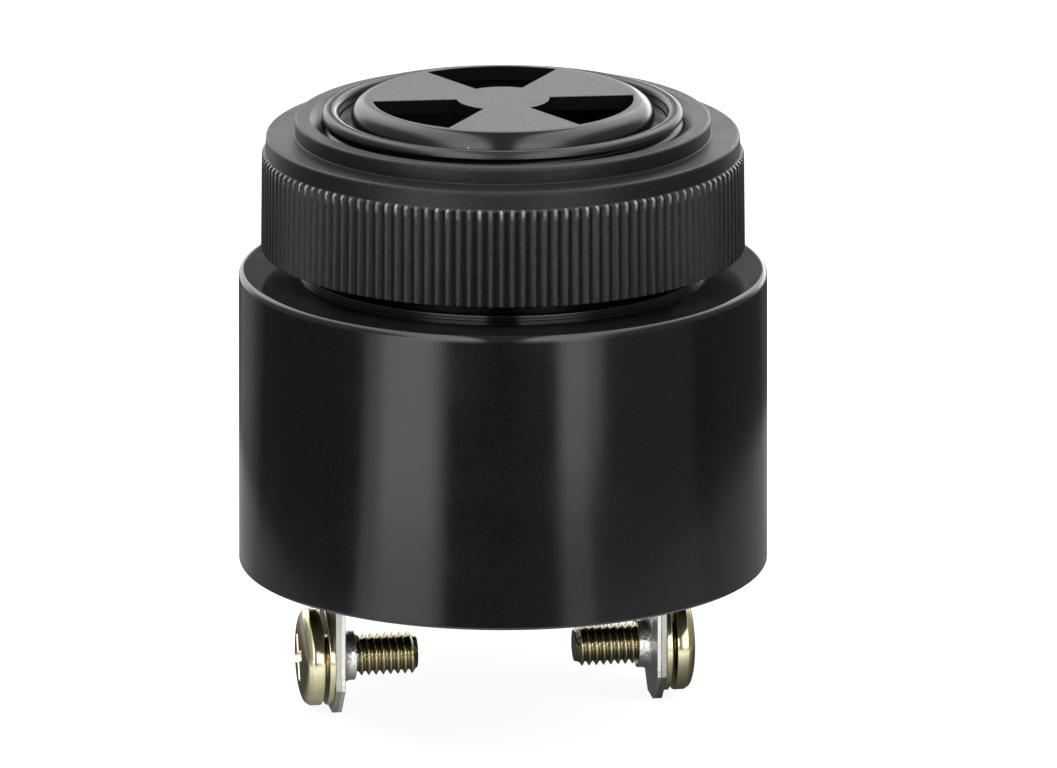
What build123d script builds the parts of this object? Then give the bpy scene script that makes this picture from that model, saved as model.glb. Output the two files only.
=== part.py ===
from build123d import *
import math
import os

# A panel buzzer: a round moulded housing whose threaded neck goes through a round hole, a ribbed ring
# nut that holds it there, a grille with three windows in the neck's mouth, a piezo disc and its driver
# board inside, and two screw terminals under the base.
# Millimetres, +Z up. The origin is on the axis, in the plane of the shoulder that faces the panel.
# The two terminals stand apart along X, on a chord a little behind the axis.

# Housing
body_dia = 43.0
body_top_dia = 42.8
body_height = 24.4
body_bore_dia = 39.0
shoulder_thickness = 2.5
shoulder_edge_radius = 0.5
seat_dia = 33.4
seat_height = 0.5
neck_dia = 29.2
neck_height = 13.35
relief_dia = 28.8
relief_top_z = 1.7
neck_bore_dia = 24.4
mouth_dia = 26.6
mouth_floor_z = 11.5
mouth_rim_radius = 0.55
bulkhead_bottom_z = 1.0
bulkhead_top_z = 3.0
sound_port_dia = 6.0
cover_rebate_dia = 40.6
cover_rebate_depth = 2.2

# Ring nut, held part of the way up the neck as it is with no panel in it
nut_clearance = 0.06
nut_bottom_z = 1.85
rib_top_z = 9.85
annulus_z = 11.25
collar_top_z = 12.6
rib_bottom_dia = 39.2
rib_top_dia = 39.0
rib_depth = 0.36
rib_count = 140
rib_groove_share = 0.8
band_dia = 38.45
band_top_dia = 38.3
nut_collar_dia = 33.6
nut_mouth_dia = 31.2
nut_mouth_depth = 0.6
nut_edge_radius = 0.25

# Grille
grille_top_z = 14.15
grille_wall_dia = 24.6
grille_edge_radius = 1.6
grille_inner_dia = 21.6
grille_plate_thickness = 1.2
flange_dia = 26.5
flange_top_z = 12.3
window_count = 3
window_angle = 60.0
window_inner_dia = 7.5
window_outer_dia = 21.1
first_window_direction = 87.0

# Base cover
cover_dia = 40.5
cover_thickness = 2.0
cover_recess = 0.2
guide_height = 3.0
guide_wall = 1.2

# Terminals and their screws
tab_inner_x = 12.87
tab_chord_y = 4.5
tab_thickness = 0.8
tab_width = 7.6
tab_bottom_z = -38.0
tab_corner = 2.5
tab_neck_width = 5.0
tab_pin_width = 2.0
tab_fit = 0.1
screw_z = -33.5
screw_dia = 3.5
screw_length = 8.0
screw_slack = 0.35
screw_fit = 0.03
head_dia = 8.0
head_side = 1.0
head_crown = 0.75
head_flat_dia = 2.4
recess_span = 3.9
recess_width = 0.85
recess_depth = 1.3
recess_turn = 20.0
recess_taper = 10.0
boss_dia = 4.1
boss_length = 1.2
boss_root_radius = 0.9
washer_thickness = 0.5
washer_bore_dia = 3.8

# Piezo disc
mount_ring_height = 0.6
diaphragm_dia = 27.0
diaphragm_thickness = 0.25
ceramic_dia = 20.0
ceramic_thickness = 0.25
electrode_dia = 18.8
electrode_thickness = 0.05
feedback_width = 2.6
feedback_inner_dia = 5.0
electrode_gap = 0.5

# Driver board and what it carries
board_dia = 37.4
board_thickness = 1.6
board_top_z = -13.0
post_width = 2.0
post_radius = 18.5
post_depth = 2.4
pin_dia = 0.6
pin_hole_dia = 0.9
pin_reach = 0.6
solder_dia = 1.2
coil_dia = 8.0
coil_height = 7.0
coil_flange = 0.8
coil_waist_dia = 3.6
winding_dia = 7.4
coil_pin_spacing = 5.0
can_dia = 5.0
can_height = 7.0
can_pin_spacing = 2.0
crimp_radius = 0.4
crimp_height = 1.3
transistor_width = 4.7
transistor_height = 4.6
transistor_depth = 3.7
transistor_pin_pitch = 1.27
transistor_lift = 1.2
disc_capacitor_dia = 4.6
disc_capacitor_thickness = 2.2
disc_capacitor_lift = 0.6
disc_capacitor_pin_spacing = 2.5
axial_pin_spacing = 10.0
resistor_body = (6.0, 2.3)
diode_body = (5.0, 2.6)
lead_bend_radius = 1.0

# Places on the board, as X and Y
coil_place = (0.0, 8.0)
can_place = (-7.5, 10.5)
transistor_place = (8.0, 10.5)
disc_capacitor_place = (7.0, -1.5)
resistor_places = [(-6.0, 1.0), (-6.0, -2.5), (-6.0, -6.0)]
diode_place = (7.0, -6.5)
# Each wire's solder point on the disc's underside, and its hole in the board
lead_ends = {
    "lead_drive": ((-5.5, -5.5), (-4.0, -12.0)),
    "lead_feedback": ((0.0, -7.6), (0.0, -12.0)),
    "lead_ground": ((5.0, -10.6), (4.0, -12.0)),
}

# Worked out from the sizes above
body_bottom_z = -body_height
diaphragm_top_z = -shoulder_thickness - mount_ring_height
ceramic_top_z = diaphragm_top_z - diaphragm_thickness
electrode_top_z = ceramic_top_z - ceramic_thickness
electrode_bottom_z = electrode_top_z - electrode_thickness
board_bottom_z = board_top_z - board_thickness
pin_end_z = board_bottom_z - pin_reach
cover_bottom_z = body_bottom_z + cover_recess
cover_top_z = cover_bottom_z + cover_thickness
sides = {"left": -1, "right": 1}


def pins_in_line(place, spacing, count=2):
    """Places of a row of pins along X, centred on a component's place."""
    first = place[0] - spacing * (count - 1) / 2
    return [(first + spacing * index, place[1]) for index in range(count)]


coil_pins = pins_in_line(coil_place, coil_pin_spacing)
can_pins = pins_in_line(can_place, can_pin_spacing)
transistor_pins = pins_in_line(transistor_place, transistor_pin_pitch, 3)
disc_capacitor_pins = pins_in_line(disc_capacitor_place, disc_capacitor_pin_spacing)
axial_places = resistor_places + [diode_place]
axial_pins = [pin for place in axial_places for pin in pins_in_line(place, axial_pin_spacing)]
wire_holes = [hole for start, hole in lead_ends.values()]
all_pins = coil_pins + can_pins + transistor_pins + disc_capacitor_pins + axial_pins + wire_holes


def outline(points, plane=Plane.XZ):
    """A closed flat outline. On the XZ plane its points are (distance from the axis, height)."""
    with BuildSketch(plane) as sketch:
        with BuildLine():
            Polyline(*points, close=True)
        make_face()
    return sketch.sketch


def rings(part, dia, height):
    """The round edges about the Z axis that have that diameter at that height."""
    return [
        edge
        for edge in part.edges().filter_by(GeomType.CIRCLE)
        if abs(2 * edge.radius - dia) < 0.001 and abs(edge.center().Z - height) < 0.001
    ]


def tab_plane(side, distance):
    """The plane at that distance from the YZ plane, facing outwards, with local Y along Z."""
    return Plane(origin=(side * distance, tab_chord_y, 0), x_dir=(0, side, 0), z_dir=(side, 0, 0))


os.makedirs("parts", exist_ok=True)

# The housing is one moulding. From above it has a neck with a wide mouth, a bore and a bulkhead with the
# sound port. From below it has a rebate for the cover, the body's cavity and the disc's chamber. At the
# neck's foot a plain relief, where the thread runs out, holds the panel's hole on centre.
with BuildPart() as housing:
    revolve(
        outline(
            [
                (0, body_bottom_z),
                (body_dia / 2, body_bottom_z),
                (body_top_dia / 2, 0),
                (seat_dia / 2, 0),
                (seat_dia / 2, seat_height),
                (relief_dia / 2, seat_height),
                (relief_dia / 2, relief_top_z),
                (neck_dia / 2, relief_top_z),
                (neck_dia / 2, neck_height),
                (0, neck_height),
            ]
        ),
        axis=Axis.Z,
    )
    revolve(
        outline(
            [
                (0, bulkhead_top_z),
                (neck_bore_dia / 2, bulkhead_top_z),
                (neck_bore_dia / 2, mouth_floor_z),
                (mouth_dia / 2, mouth_floor_z),
                (mouth_dia / 2, neck_height),
                (0, neck_height),
            ]
        ),
        axis=Axis.Z,
        mode=Mode.SUBTRACT,
    )
    revolve(
        outline(
            [
                (0, body_bottom_z),
                (cover_rebate_dia / 2, body_bottom_z),
                (cover_rebate_dia / 2, body_bottom_z + cover_rebate_depth),
                (body_bore_dia / 2, body_bottom_z + cover_rebate_depth),
                (body_bore_dia / 2, -shoulder_thickness),
                (neck_bore_dia / 2, -shoulder_thickness),
                (neck_bore_dia / 2, bulkhead_bottom_z),
                (0, bulkhead_bottom_z),
            ]
        ),
        axis=Axis.Z,
        mode=Mode.SUBTRACT,
    )
    with Locations((0, 0, bulkhead_top_z)):
        Hole(radius=sound_port_dia / 2, depth=bulkhead_top_z - bulkhead_bottom_z)
    # Four posts inside the wall stop the board
    with BuildSketch(Plane.XY.offset(board_top_z)):
        with PolarLocations(post_radius, 4, start_angle=45):
            Rectangle(post_depth, post_width)
    extrude(amount=-shoulder_thickness - board_top_z)
    fillet(rings(housing, body_top_dia, 0), radius=shoulder_edge_radius)
    fillet(rings(housing, neck_dia, neck_height), radius=mouth_rim_radius)
    fillet(rings(housing, mouth_dia, neck_height), radius=mouth_rim_radius)
    fillet(rings(housing, body_dia, body_bottom_z), radius=shoulder_edge_radius / 2)
    fillet(rings(housing, seat_dia, seat_height), radius=shoulder_edge_radius / 3)
housing.part.label = "housing"
export_step(housing.part, "parts/housing.step")

# The ring nut: a turned blank with a raised collar and a countersunk mouth, then V grooves up to the foot
# of the smooth band. The bevel over the ribs gives each one a rounded tip.
with BuildPart() as ring_nut:
    bore_radius = neck_dia / 2 + nut_clearance
    rib_bevel = (rib_top_dia - band_dia) / 2
    revolve(
        outline(
            [
                (bore_radius, nut_bottom_z),
                (rib_bottom_dia / 2, nut_bottom_z),
                (rib_top_dia / 2, rib_top_z - rib_bevel),
                (band_dia / 2, rib_top_z),
                (band_top_dia / 2, annulus_z),
                (nut_collar_dia / 2, annulus_z),
                (nut_collar_dia / 2, collar_top_z),
                (nut_mouth_dia / 2, collar_top_z),
                (bore_radius, collar_top_z - nut_mouth_depth),
            ]
        ),
        axis=Axis.Z,
    )
    fillet(rings(ring_nut, band_top_dia, annulus_z), radius=nut_edge_radius)
    fillet(rings(ring_nut, nut_collar_dia, collar_top_z), radius=nut_edge_radius)
    groove_width = math.pi * rib_bottom_dia / rib_count * rib_groove_share
    groove_overrun = 0.1
    with BuildSketch(Plane.XY.offset(nut_bottom_z)):
        with PolarLocations(rib_bottom_dia / 2, rib_count):
            Polygon(
                (-rib_depth, 0),
                (groove_overrun, -groove_width / 2),
                (groove_overrun, groove_width / 2),
                align=None,
            )
    extrude(amount=rib_top_z - nut_bottom_z, mode=Mode.SUBTRACT)
ring_nut.part.label = "ring_nut"
export_step(ring_nut.part, "parts/ring_nut.step")

# One window: a 60 degree sector between the hub and the edge of the cap's flat top
with BuildSketch() as window:
    with BuildLine():
        hub_arc = CenterArc((0, 0), window_inner_dia / 2, -window_angle / 2, window_angle)
        rim_arc = CenterArc((0, 0), window_outer_dia / 2, -window_angle / 2, window_angle)
        Line(hub_arc @ 0, rim_arc @ 0)
        Line(hub_arc @ 1, rim_arc @ 1)
    make_face()

# The grille is a cap with a flange that rests on the step in the neck's mouth
with BuildPart() as front_grille:
    revolve(
        outline(
            [
                (grille_inner_dia / 2, mouth_floor_z),
                (flange_dia / 2, mouth_floor_z),
                (flange_dia / 2, flange_top_z),
                (grille_wall_dia / 2, flange_top_z),
                (grille_wall_dia / 2, grille_top_z),
                (0, grille_top_z),
                (0, grille_top_z - grille_plate_thickness),
                (grille_inner_dia / 2, grille_top_z - grille_plate_thickness),
            ]
        ),
        axis=Axis.Z,
    )
    fillet(rings(front_grille, grille_wall_dia, grille_top_z), radius=grille_edge_radius)
    with BuildSketch(Plane.XY.offset(grille_top_z)):
        with PolarLocations(0, window_count, start_angle=first_window_direction):
            add(window.sketch)
    extrude(amount=-grille_plate_thickness, mode=Mode.SUBTRACT)
front_grille.part.label = "front_grille"
export_step(front_grille.part, "parts/front_grille.step")

# The base cover sits in the housing's rebate. A guide round each slot steadies the terminal.
with BuildPart() as base_cover:
    slot_centre_x = tab_inner_x + tab_thickness / 2
    slot_length = tab_neck_width + 2 * tab_fit
    slot_width = tab_thickness + 2 * tab_fit
    with BuildSketch(Plane.XY.offset(cover_bottom_z)):
        Circle(cover_dia / 2)
    extrude(amount=cover_thickness)
    with BuildSketch(Plane.XY.offset(cover_top_z)):
        with Locations((-slot_centre_x, tab_chord_y), (slot_centre_x, tab_chord_y)):
            Rectangle(slot_width + 2 * guide_wall, slot_length + 2 * guide_wall)
    extrude(amount=guide_height)
    with BuildSketch(Plane.XY.offset(cover_bottom_z)):
        with Locations((-slot_centre_x, tab_chord_y), (slot_centre_x, tab_chord_y)):
            Rectangle(slot_width, slot_length)
    extrude(amount=cover_thickness + guide_height, mode=Mode.SUBTRACT)
    fillet(rings(base_cover, cover_dia, cover_bottom_z), radius=cover_recess)
base_cover.part.label = "base_cover"
export_step(base_cover.part, "parts/base_cover.step")

# A terminal is stamped from sheet: a wide tab with clipped corners, a neck that goes through the cover, a
# pin for the board, and an extruded boss on the inner side for the screw's thread.
for name, side in sides.items():
    half_width = tab_width / 2
    half_neck = tab_neck_width / 2
    half_pin = tab_pin_width / 2
    tab_pin_top_z = board_top_z + pin_reach
    right_side = [
        (half_width - tab_corner, tab_bottom_z),
        (half_width, tab_bottom_z + tab_corner),
        (half_width, cover_bottom_z),
        (half_neck, cover_bottom_z),
        (half_neck, board_bottom_z),
        (half_pin, board_bottom_z),
        (half_pin, tab_pin_top_z),
    ]
    left_side = [(-across, height) for across, height in reversed(right_side)]
    inner_face = tab_plane(side, tab_inner_x)
    with BuildPart() as terminal:
        with BuildSketch(inner_face):
            add(outline(right_side + left_side, Plane.XY))
        extrude(amount=tab_thickness)
        with BuildSketch(inner_face):
            with Locations((0, screw_z)):
                Circle(boss_dia / 2)
        extrude(amount=-boss_length)
        boss_root = terminal.edges().filter_by(GeomType.CIRCLE).sort_by(Axis.X)[-1 if side > 0 else 0]
        fillet(boss_root, radius=boss_root_radius)
        with BuildSketch(tab_plane(side, tab_inner_x - boss_length)):
            with Locations((0, screw_z)):
                Circle(screw_dia / 2)
        extrude(amount=boss_length + tab_thickness, mode=Mode.SUBTRACT)
    terminal.part.label = f"terminal_{name}"
    export_step(terminal.part, f"parts/terminal_{name}.step")

    # The washer lies against the tab
    outer_face = tab_plane(side, tab_inner_x + tab_thickness)
    with BuildPart() as washer:
        with BuildSketch(outer_face):
            with Locations((0, screw_z)):
                Circle(head_dia / 2)
                Circle(washer_bore_dia / 2, mode=Mode.SUBTRACT)
        extrude(amount=washer_thickness)
    washer.part.label = f"terminal_washer_{name}"
    export_step(washer.part, f"parts/terminal_washer_{name}.step")

    # The screw is a little slack, so there is a gap between its head and the washer. Its outline runs
    # outwards along local X, with the radius along local Y.
    head_under_x = tab_inner_x + tab_thickness + washer_thickness + screw_slack
    head_under = (side * head_under_x, tab_chord_y, screw_z)
    crown_centre = (side * (head_under_x + head_side + head_crown), tab_chord_y, screw_z)
    thread_radius = screw_dia / 2 - screw_fit
    point_chamfer = 0.4
    with BuildPart() as screw:
        with BuildSketch(Plane(head_under, x_dir=(side, 0, 0), z_dir=(0, -1, 0))):
            with BuildLine():
                side_profile = Polyline(
                    (head_side + head_crown, head_flat_dia / 2),
                    (head_side + head_crown, 0),
                    (-screw_length, 0),
                    (-screw_length, thread_radius - point_chamfer),
                    (-screw_length + point_chamfer, thread_radius),
                    (0, thread_radius),
                    (0, head_dia / 2),
                    (head_side, head_dia / 2),
                )
                crown_middle = (head_side + 0.72 * head_crown, 0.33 * head_dia)
                ThreePointArc(side_profile @ 1, crown_middle, side_profile @ 0)
            make_face()
        revolve(axis=Axis((0, tab_chord_y, screw_z), (1, 0, 0)))
        with BuildSketch(Plane(crown_centre, x_dir=(0, 1, 0), z_dir=(-side, 0, 0))):
            with Locations(Location((0, 0), recess_turn)):
                Rectangle(recess_span, recess_width)
                Rectangle(recess_width, recess_span)
        extrude(amount=recess_depth, taper=recess_taper, mode=Mode.SUBTRACT)
    screw.part.label = f"terminal_screw_{name}"
    export_step(screw.part, f"parts/terminal_screw_{name}.step")


def disc(dia, thickness, top_z, bore_dia=0):
    """A flat round disc, or a ring if it has a bore, hanging from its top face."""
    with BuildPart() as flat:
        with BuildSketch(Plane.XY.offset(top_z)):
            Circle(dia / 2)
            if bore_dia:
                Circle(bore_dia / 2, mode=Mode.SUBTRACT)
        extrude(amount=-thickness)
    return flat


# The piezo disc hangs by its edge from a soft ring under the neck
diaphragm_mount = disc(diaphragm_dia, mount_ring_height, -shoulder_thickness, bore_dia=neck_bore_dia)
diaphragm_mount.part.label = "diaphragm_mount"
export_step(diaphragm_mount.part, "parts/diaphragm_mount.step")

diaphragm = disc(diaphragm_dia, diaphragm_thickness, diaphragm_top_z)
diaphragm.part.label = "diaphragm"
export_step(diaphragm.part, "parts/diaphragm.step")

piezo_ceramic = disc(ceramic_dia, ceramic_thickness, ceramic_top_z)
piezo_ceramic.part.label = "piezo_ceramic"
export_step(piezo_ceramic.part, "parts/piezo_ceramic.step")


# The silver on the ceramic's underside: a large field, and a keyhole left clear of it for feedback
with BuildPart() as drive_electrode:
    with BuildSketch(Plane.XY.offset(electrode_top_z)):
        Circle(electrode_dia / 2)
        with BuildSketch(mode=Mode.SUBTRACT):
            Circle(feedback_inner_dia / 2 + electrode_gap)
            with Locations((0, -electrode_dia / 4)):
                Rectangle(feedback_width + 2 * electrode_gap, electrode_dia / 2)
    extrude(amount=-electrode_thickness)
drive_electrode.part.label = "drive_electrode"
export_step(drive_electrode.part, "parts/drive_electrode.step")

with BuildPart() as feedback_electrode:
    with BuildSketch(Plane.XY.offset(electrode_top_z)):
        Circle(feedback_inner_dia / 2)
        with Locations((0, -electrode_dia / 4)):
            Rectangle(feedback_width, electrode_dia / 2)
        Circle(electrode_dia / 2, mode=Mode.INTERSECT)
    extrude(amount=-electrode_thickness)
feedback_electrode.part.label = "feedback_electrode"
export_step(feedback_electrode.part, "parts/feedback_electrode.step")

# The board has a round hole for each pin and wire, and a slot for each terminal
with BuildPart() as circuit_board:
    with BuildSketch(Plane.XY.offset(board_bottom_z)):
        Circle(board_dia / 2)
        with Locations(*all_pins):
            Circle(pin_hole_dia / 2, mode=Mode.SUBTRACT)
        with Locations((-slot_centre_x, tab_chord_y), (slot_centre_x, tab_chord_y)):
            Rectangle(slot_width, tab_pin_width + 2 * tab_fit, mode=Mode.SUBTRACT)
    extrude(amount=board_thickness)
circuit_board.part.label = "circuit_board"
export_step(circuit_board.part, "parts/circuit_board.step")

# A small cone of solder under the board round each pin and wire
with BuildPart() as board_solder:
    for pin in all_pins:
        with Locations((pin[0], pin[1], board_bottom_z - pin_reach / 2)):
            Cone(bottom_radius=pin_dia / 2 + 0.05, top_radius=solder_dia / 2, height=pin_reach)
            Cylinder(radius=pin_dia / 2, height=pin_reach, mode=Mode.SUBTRACT)
board_solder.part.label = "board_solder"
export_step(board_solder.part, "parts/board_solder.step")


def add_pins(pins, top_z):
    """Straight pins from that height down through the board."""
    with BuildSketch(Plane.XY.offset(pin_end_z)) as feet:
        with Locations(*pins):
            Circle(pin_dia / 2)
    extrude(feet.sketch, amount=top_z - pin_end_z)


# The step-up coil: a ferrite drum with a copper winding between its flanges
with BuildPart() as coil_core:
    with Locations((*coil_place, board_top_z)):
        Cylinder(coil_dia / 2, coil_flange, align=(Align.CENTER, Align.CENTER, Align.MIN))
        Cylinder(coil_waist_dia / 2, coil_height, align=(Align.CENTER, Align.CENTER, Align.MIN))
    with Locations((*coil_place, board_top_z + coil_height - coil_flange)):
        Cylinder(coil_dia / 2, coil_flange, align=(Align.CENTER, Align.CENTER, Align.MIN))
    add_pins(coil_pins, board_top_z)
coil_core.part.label = "coil_core"
export_step(coil_core.part, "parts/coil_core.step")

with BuildPart() as coil_winding:
    with BuildSketch(Plane.XY.offset(board_top_z + coil_flange)):
        with Locations(coil_place):
            Circle(winding_dia / 2)
            Circle(coil_waist_dia / 2, mode=Mode.SUBTRACT)
    extrude(amount=coil_height - 2 * coil_flange)
coil_winding.part.label = "coil_winding"
export_step(coil_winding.part, "parts/coil_winding.step")

# The electrolytic capacitor is a can with a crimp ring near its foot
with BuildPart() as electrolytic_capacitor:
    with Locations((*can_place, board_top_z)):
        Cylinder(can_dia / 2, can_height, align=(Align.CENTER, Align.CENTER, Align.MIN))
    fillet(electrolytic_capacitor.edges().sort_by(Axis.Z)[-1], radius=crimp_radius)
    with Locations((*can_place, board_top_z + crimp_height)):
        Torus(can_dia / 2 + crimp_radius / 2, crimp_radius, mode=Mode.SUBTRACT)
    add_pins(can_pins, board_top_z)
electrolytic_capacitor.part.label = "electrolytic_capacitor"
export_step(electrolytic_capacitor.part, "parts/electrolytic_capacitor.step")

# The transistor is a moulded D, held off the board on its three legs
with BuildPart() as transistor:
    with BuildSketch(Plane.XY.offset(board_top_z + transistor_lift)):
        with Locations(transistor_place):
            Circle(transistor_width / 2)
        flat_y = transistor_place[1] + transistor_depth - transistor_width / 2
        with Locations((transistor_place[0], flat_y)):
            Rectangle(
                transistor_width,
                transistor_width,
                align=(Align.CENTER, Align.MIN),
                mode=Mode.SUBTRACT,
            )
    extrude(amount=transistor_height)
    add_pins(transistor_pins, board_top_z + transistor_lift)
transistor.part.label = "transistor"
export_step(transistor.part, "parts/transistor.step")

# The ceramic capacitor is a dipped disc on edge
with BuildPart() as ceramic_capacitor:
    disc_centre_z = board_top_z + disc_capacitor_lift + disc_capacitor_dia / 2
    disc_centre_y = disc_capacitor_place[1]
    with BuildSketch(Plane.XZ.offset(-disc_centre_y - disc_capacitor_thickness / 2)):
        with Locations((disc_capacitor_place[0], disc_centre_z)):
            Circle(disc_capacitor_dia / 2)
    extrude(amount=disc_capacitor_thickness)
    fillet(ceramic_capacitor.edges(), radius=disc_capacitor_thickness / 3)
    add_pins(disc_capacitor_pins, disc_centre_z)
ceramic_capacitor.part.label = "ceramic_capacitor"
export_step(ceramic_capacitor.part, "parts/ceramic_capacitor.step")


def round_wire(points):
    """A wire of the pins' size along straight runs joined by arcs."""
    with BuildPart() as wire:
        with BuildLine() as path:
            FilletPolyline(*points, radius=lead_bend_radius)
        with BuildSketch(Plane(origin=path.line @ 0, z_dir=path.line % 0)):
            Circle(pin_dia / 2)
        sweep(path=path.line)
    return wire.part


def axial_component(place, body):
    """A barrel lying just over the board, with its two wires bent down into it."""
    length, dia = body
    axis_z = board_top_z + dia / 2
    (left_x, y), (right_x, y) = pins_in_line(place, axial_pin_spacing)
    wire_points = [
        (left_x, y, pin_end_z),
        (left_x, y, axis_z),
        (right_x, y, axis_z),
        (right_x, y, pin_end_z),
    ]
    with BuildPart() as component:
        add(round_wire(wire_points))
        with Locations(Location((place[0], y, axis_z), (0, 90, 0))):
            Cylinder(dia / 2, length)
        circles = component.edges().filter_by(GeomType.CIRCLE)
        fillet([edge for edge in circles if edge.radius > 0.45 * dia], radius=dia / 8)
    return component


for number, place in enumerate(resistor_places, start=1):
    resistor = axial_component(place, resistor_body)
    resistor.part.label = f"resistor_{number}"
    export_step(resistor.part, f"parts/resistor_{number}.step")

diode = axial_component(diode_place, diode_body)
diode.part.label = "diode"
export_step(diode.part, "parts/diode.step")

# Three wires go from the disc's underside to the board
turn_top_z = -7.0
turn_bottom_z = -9.5
for name, (start, hole) in lead_ends.items():
    start_z = ceramic_top_z if name == "lead_ground" else electrode_bottom_z
    with BuildPart() as lead:
        add(
            round_wire(
                [(*start, start_z), (*start, turn_top_z), (*hole, turn_bottom_z), (*hole, pin_end_z)]
            )
        )
    lead.part.label = name
    export_step(lead.part, f"parts/{name}.step")

# A drop of solder on the disc at the top of each wire
solder_drop_height = 0.5
with BuildPart() as disc_solder:
    for name, (start, hole) in lead_ends.items():
        start_z = ceramic_top_z if name == "lead_ground" else electrode_bottom_z
        with Locations((*start, start_z - solder_drop_height / 2)):
            Cone(bottom_radius=pin_dia / 2 + 0.1, top_radius=solder_dia / 2, height=solder_drop_height)
            Cylinder(radius=pin_dia / 2, height=solder_drop_height, mode=Mode.SUBTRACT)
disc_solder.part.label = "disc_solder"
export_step(disc_solder.part, "parts/disc_solder.step")
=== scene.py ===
import math

import bpy
import numpy as np
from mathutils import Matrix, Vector


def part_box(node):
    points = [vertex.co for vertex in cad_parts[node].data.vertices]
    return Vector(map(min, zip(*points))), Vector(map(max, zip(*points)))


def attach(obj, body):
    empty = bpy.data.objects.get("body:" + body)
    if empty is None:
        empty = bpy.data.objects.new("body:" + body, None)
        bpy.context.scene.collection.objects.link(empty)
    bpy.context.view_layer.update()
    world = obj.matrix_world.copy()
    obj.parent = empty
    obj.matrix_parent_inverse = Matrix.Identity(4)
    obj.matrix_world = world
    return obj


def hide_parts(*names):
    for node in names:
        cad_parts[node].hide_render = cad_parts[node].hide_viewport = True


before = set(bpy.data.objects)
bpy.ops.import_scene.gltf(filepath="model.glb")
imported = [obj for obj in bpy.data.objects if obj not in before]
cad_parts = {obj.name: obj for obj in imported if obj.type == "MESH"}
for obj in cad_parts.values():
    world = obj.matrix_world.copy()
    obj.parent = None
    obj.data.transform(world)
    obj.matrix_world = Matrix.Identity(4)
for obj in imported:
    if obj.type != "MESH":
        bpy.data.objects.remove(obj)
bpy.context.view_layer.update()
MM = 0.001

# The camera stands 1.2 m off with a long lens, a little over the buzzer's shoulder and a little to the left
# of its front. Its place and lens come from fitting the outlines of the turned parts.
photo_size = (1057, 768)
origin_pixel = (503.0, 267.2)
pixels_per_metre = 12347.0
camera_distance = 1.2
azimuth, elevation = math.radians(-8.75), math.radians(15.42)
toward = Vector((
    math.sin(azimuth) * math.cos(elevation), -math.cos(azimuth) * math.cos(elevation), math.sin(elevation),
))
right = Vector((math.cos(azimuth), math.sin(azimuth), 0.0))
up = toward.cross(right)
aim = (
    right * (photo_size[0] / 2 - origin_pixel[0]) / pixels_per_metre
    - up * (photo_size[1] / 2 - origin_pixel[1]) / pixels_per_metre
)
camera = bpy.data.objects.new("camera", bpy.data.cameras.new("camera"))
camera.data.sensor_width = 36.0
camera.data.lens = 36.0 * camera_distance * pixels_per_metre / photo_size[0]
camera.location = aim + toward * camera_distance
camera.rotation_euler = toward.to_track_quat("Z", "Y").to_euler()
bpy.context.scene.collection.objects.link(camera)
bpy.context.scene.camera = camera
bpy.context.scene.view_settings.view_transform = "Standard"


# The studio: a white floor under the terminals, and a white surround. What gloss mirrors is kept apart from
# that: two soft panels, left and right of the camera, that go from the floor up and over, with a dark gap
# between them, and a dim floor that is a little lighter close to the buzzer.
def put(tree, kind, sockets=(), **options):
    """Adds a node. The options are its settings. The sockets feed its inputs, by name or by number, with a
    value or with another node's output."""
    node = tree.nodes.new("ShaderNode" + kind)
    for option, value in options.items():
        setattr(node, option, value)
    for socket, value in dict(sockets).items():
        if isinstance(value, bpy.types.NodeSocket):
            tree.links.new(value, node.inputs[socket])
        else:
            node.inputs[socket].default_value = value
    return node


def math_of(tree, operation, *values):
    """One sum, product or other operation on values or outputs."""
    return put(tree, "Math", dict(enumerate(values)), operation=operation).outputs[0]


def times(tree, *values):
    """The product of any number of values or outputs."""
    product = values[0]
    for value in values[1:]:
        product = math_of(tree, "MULTIPLY", product, value)
    return product


def total(tree, *values):
    """The sum of any number of values or outputs."""
    result = values[0]
    for value in values[1:]:
        result = math_of(tree, "ADD", result, value)
    return result


def length_of(tree, first, second):
    """The distance that two values at right angles make: the root of the sum of their squares."""
    return math_of(tree, "SQRT", total(tree, times(tree, first, first), times(tree, second, second)))


def rise(tree, value, start, end, low=0.0, high=1.0):
    """Goes smoothly from low to high as the value goes from start to end."""
    sockets = {0: value, 1: start, 2: end, 3: low, 4: high}
    return put(tree, "MapRange", sockets, interpolation_type="SMOOTHSTEP").outputs[0]


def between(tree, value, start, end, soft):
    """1 where the value is between start and end, falling to 0 over the soft width outside."""
    return times(tree, rise(tree, value, start - soft, start), rise(tree, value, end, end + soft, 1.0, 0.0))


def seen_from_camera(tree, place):
    """A place's or a direction's distance to the camera's right and towards it, and its height."""
    x, y, z = put(tree, "SeparateXYZ", {0: place}).outputs
    across = total(tree, times(tree, x, right.x), times(tree, y, right.y))
    near = total(tree, times(tree, x, right.y), times(tree, y, -right.x))
    return across, near, z


def side_panels(tree, across):
    """How much of a side panel there is at that sideways part of a direction: the middle and the far sides
    are dark."""
    off_middle = math_of(tree, "ABSOLUTE", across)
    return times(tree, rise(tree, off_middle, 0.10, 0.20), rise(tree, off_middle, 0.50, 0.80, 1.0, 0.15))


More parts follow.
